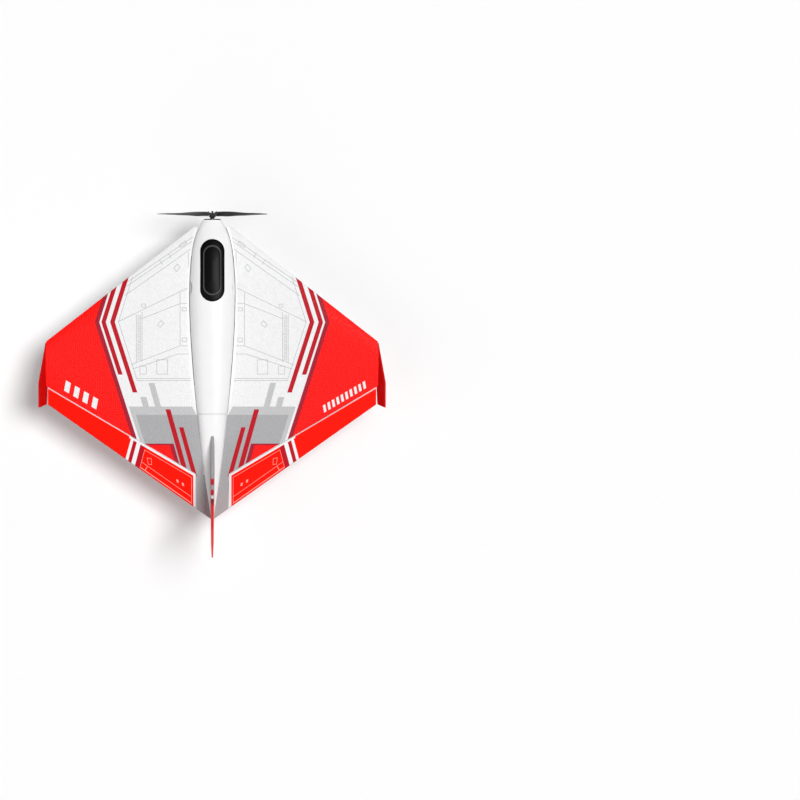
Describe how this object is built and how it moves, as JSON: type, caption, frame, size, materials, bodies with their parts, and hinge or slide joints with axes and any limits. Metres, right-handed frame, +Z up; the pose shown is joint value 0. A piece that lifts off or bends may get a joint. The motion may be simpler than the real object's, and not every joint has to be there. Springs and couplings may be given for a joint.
{
  "type": "rc flying wing",
  "caption": "Small foam electric flying wing with a nose propeller, lift-off top hatch, hinged elevons, canted winglets and a tall swept fin.",
  "frame": {"origin": "on the ground plane under the middle of the aircraft, midway between the wing tips and between the propeller and the rear tip of the fin", "axes": "+Z up, the nose points along -Y, +X is the port side, the span lies along X"},
  "size_m": [0.46, 0.458, 0.107],
  "materials": {
    "white_foam": "smooth moulded foam skin",
    "wing_foam": "fine beaded foam with a printed red, white and grey scheme",
    "elevon_foam": "smooth red foam",
    "winglet_foam": "dark red foam",
    "fin_foam": "printed red and grey foam",
    "canopy_black": "satin black plastic",
    "carbon": "pultruded carbon tube",
    "white_nylon": "moulded nylon",
    "black_nylon": "moulded nylon",
    "servo_case": "moulded case",
    "steel": "plain wire and screws",
    "magnet": "plated disc magnets",
    "black_alloy": "black anodised",
    "stator": "wound laminations",
    "plywood": "thin plywood",
    "rubber": "moulded rubber",
    "battery_wrap": "foil pouch cells in a shrink sleeve",
    "strap": "woven hook-and-loop strap",
    "wire": "silicone insulation",
    "circuit": "sleeved circuit board",
    "plug": "moulded plug and socket"
  },
  "bodies": {
    "airframe": {"battery": "battery_wrap", "battery_plug": "plug", "battery_strap": "strap", "esc": "circuit", "fin": "fin_foam", "flight_controller": "circuit", "fuselage_tub": "white_foam", "hinge_leaves_front_left": "white_nylon", "hinge_leaves_front_right": "white_nylon", "hinge_pins_left": "steel", "hinge_pins_right": "steel", "motor_base": "black_alloy", "motor_mount": "plywood", "motor_screws": "steel", "motor_stator": "stator", "motor_wires": "wire", "power_leads": "wire", "servo_lead_left": "wire", "servo_lead_right": "wire", "servo_left": "servo_case", "servo_right": "servo_case", "tail_spine": "white_foam", "tub_magnets": "magnet", "wing_left": "wing_foam", "wing_right": "wing_foam", "wing_spar": "carbon", "winglet_left": "winglet_foam", "winglet_right": "winglet_foam"},
    "prop": {"motor_bell": "black_alloy", "motor_shaft": "steel", "prop_adapter": "black_alloy", "prop_clip": "rubber", "propeller": "black_nylon"},
    "hatch": {"top_hatch": "white_foam", "canopy": "canopy_black", "hatch_magnets": "magnet"},
    "elevon_left": {"elevon_left": "elevon_foam", "hinge_leaves_rear_left": "white_nylon", "control_horn_left": "white_nylon"},
    "servo_arm_left": {"servo_arm_left": "white_nylon", "servo_arm_screw_left": "steel"},
    "pushrod_left": {"pushrod_left": "steel"},
    "elevon_right": {"elevon_right": "elevon_foam", "hinge_leaves_rear_right": "white_nylon", "control_horn_right": "white_nylon"},
    "servo_arm_right": {"servo_arm_right": "white_nylon", "servo_arm_screw_right": "steel"},
    "pushrod_right": {"pushrod_right": "steel"}
  },
  "joints": [
    {"name": "prop_spin", "type": "hinge", "parent": "airframe", "child": "prop", "pos_m": [0, -0.2251, 0.0183], "axis": [0, 1, 0], "continuous": true},
    {"name": "hatch_lift", "type": "slide", "parent": "airframe", "child": "hatch", "axis": [0, 0, 1], "range_m": [0, 0.06]},
    {"name": "elevon_left_hinge", "type": "hinge", "parent": "airframe", "child": "elevon_left", "pos_m": [0.09806, 0.07843, 0.02301], "axis": [0.8612, -0.5081, 0.0147], "range_deg": [-25, 25]},
    {"name": "servo_arm_left_turn", "type": "hinge", "parent": "airframe", "child": "servo_arm_left", "pos_m": [0.04, -0.02, 0.022], "axis": [0.8612, -0.5081, 0.0147], "range_deg": [-25, 25]},
    {"name": "pushrod_left_pivot", "type": "hinge", "parent": "elevon_left", "child": "pushrod_left", "pos_m": [0.09817, 0.07837, 0.01401], "axis": [0.8612, -0.5081, 0.0147], "range_deg": [-25, 25]},
    {"name": "elevon_right_hinge", "type": "hinge", "parent": "airframe", "child": "elevon_right", "pos_m": [-0.09806, 0.07843, 0.02301], "axis": [0.8612, 0.5081, -0.0147], "range_deg": [-25, 25]},
    {"name": "servo_arm_right_turn", "type": "hinge", "parent": "airframe", "child": "servo_arm_right", "pos_m": [-0.04, -0.02, 0.022], "axis": [0.8612, 0.5081, -0.0147], "range_deg": [-25, 25]},
    {"name": "pushrod_right_pivot", "type": "hinge", "parent": "elevon_right", "child": "pushrod_right", "pos_m": [-0.09817, 0.07837, 0.01401], "axis": [0.8612, 0.5081, -0.0147], "range_deg": [-25, 25]}
  ],
  "couplings": [
    {"joint": "servo_arm_left_turn", "follows": "elevon_left_hinge", "ratio": 1},
    {"joint": "pushrod_left_pivot", "follows": "elevon_left_hinge", "ratio": -1},
    {"joint": "servo_arm_right_turn", "follows": "elevon_right_hinge", "ratio": 1},
    {"joint": "pushrod_right_pivot", "follows": "elevon_right_hinge", "ratio": -1}
  ]
}
